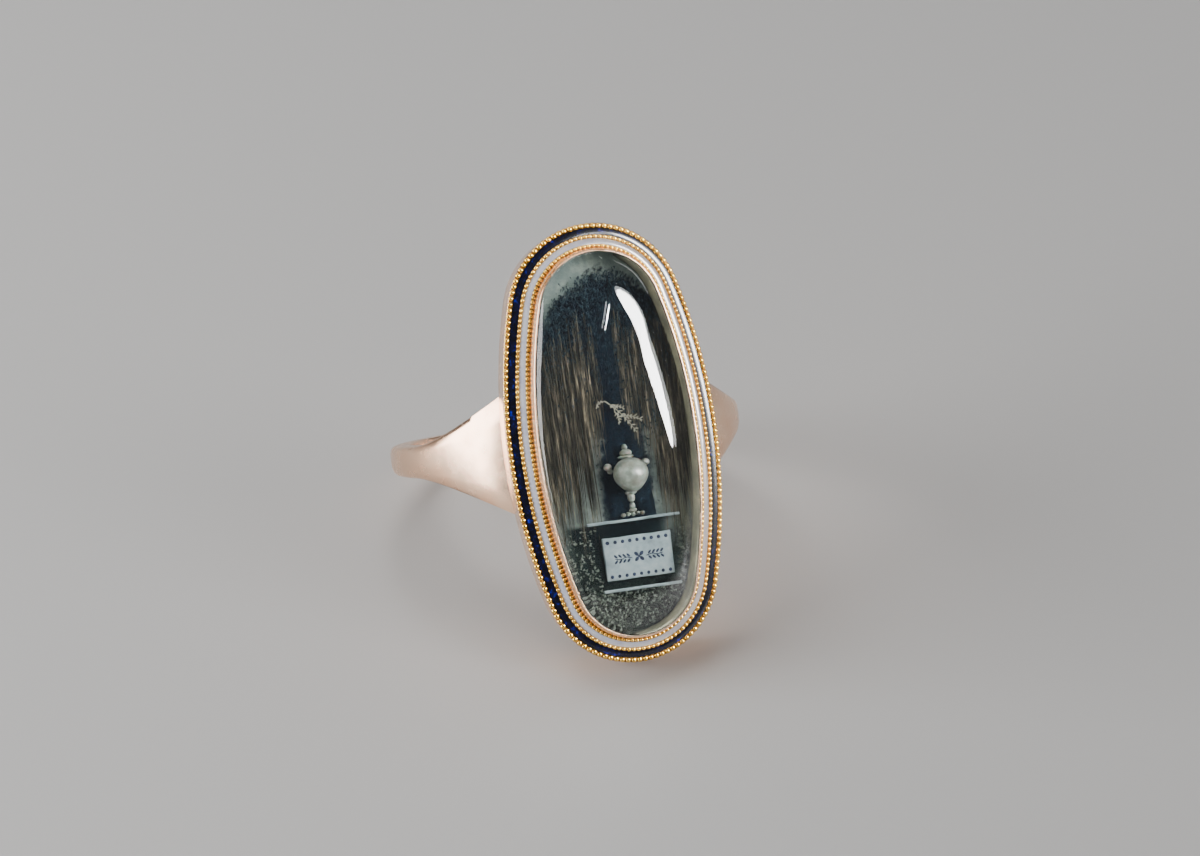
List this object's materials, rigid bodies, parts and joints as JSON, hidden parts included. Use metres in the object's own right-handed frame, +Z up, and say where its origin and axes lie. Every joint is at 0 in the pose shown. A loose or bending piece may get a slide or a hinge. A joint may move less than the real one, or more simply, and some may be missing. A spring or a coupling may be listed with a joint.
{
  "type": "mourning ring",
  "caption": "Finger ring with a long oval bezel: beaded gold rim, blue and white enamel bands, domed crystal over an urn and willow picture.",
  "frame": {"origin": "middle of the footprint of the ring as it rests, at the table's height", "axes": "+Z up from the table, -Y towards the side that the bezel's picture faces, +X to the right seen from there"},
  "size_m": [0.02, 0.025, 0.0219],
  "materials": {
    "gold": "polished rose gold, lightly worn",
    "blue_enamel": "glossy cobalt enamel",
    "white_enamel": "glossy bluish white enamel",
    "crystal": "clear polished crystal",
    "ivory": "aged ivory with a painted picture",
    "pearl": "satin pearl"
  },
  "bodies": {
    "root": {"gold_mount": "gold", "blue_enamel": "blue_enamel", "white_enamel": "white_enamel", "crystal": "crystal", "picture_plate": "ivory", "urn_body": "pearl", "urn_neck": "pearl", "urn_lid": "pearl", "urn_finial": "pearl", "urn_handle_left": "pearl", "urn_handle_right": "pearl", "urn_stem": "pearl", "urn_foot": "pearl", "plinth_cap": "ivory", "plinth_plaque": "ivory", "plinth_base": "ivory"}
  },
  "joints": []
}
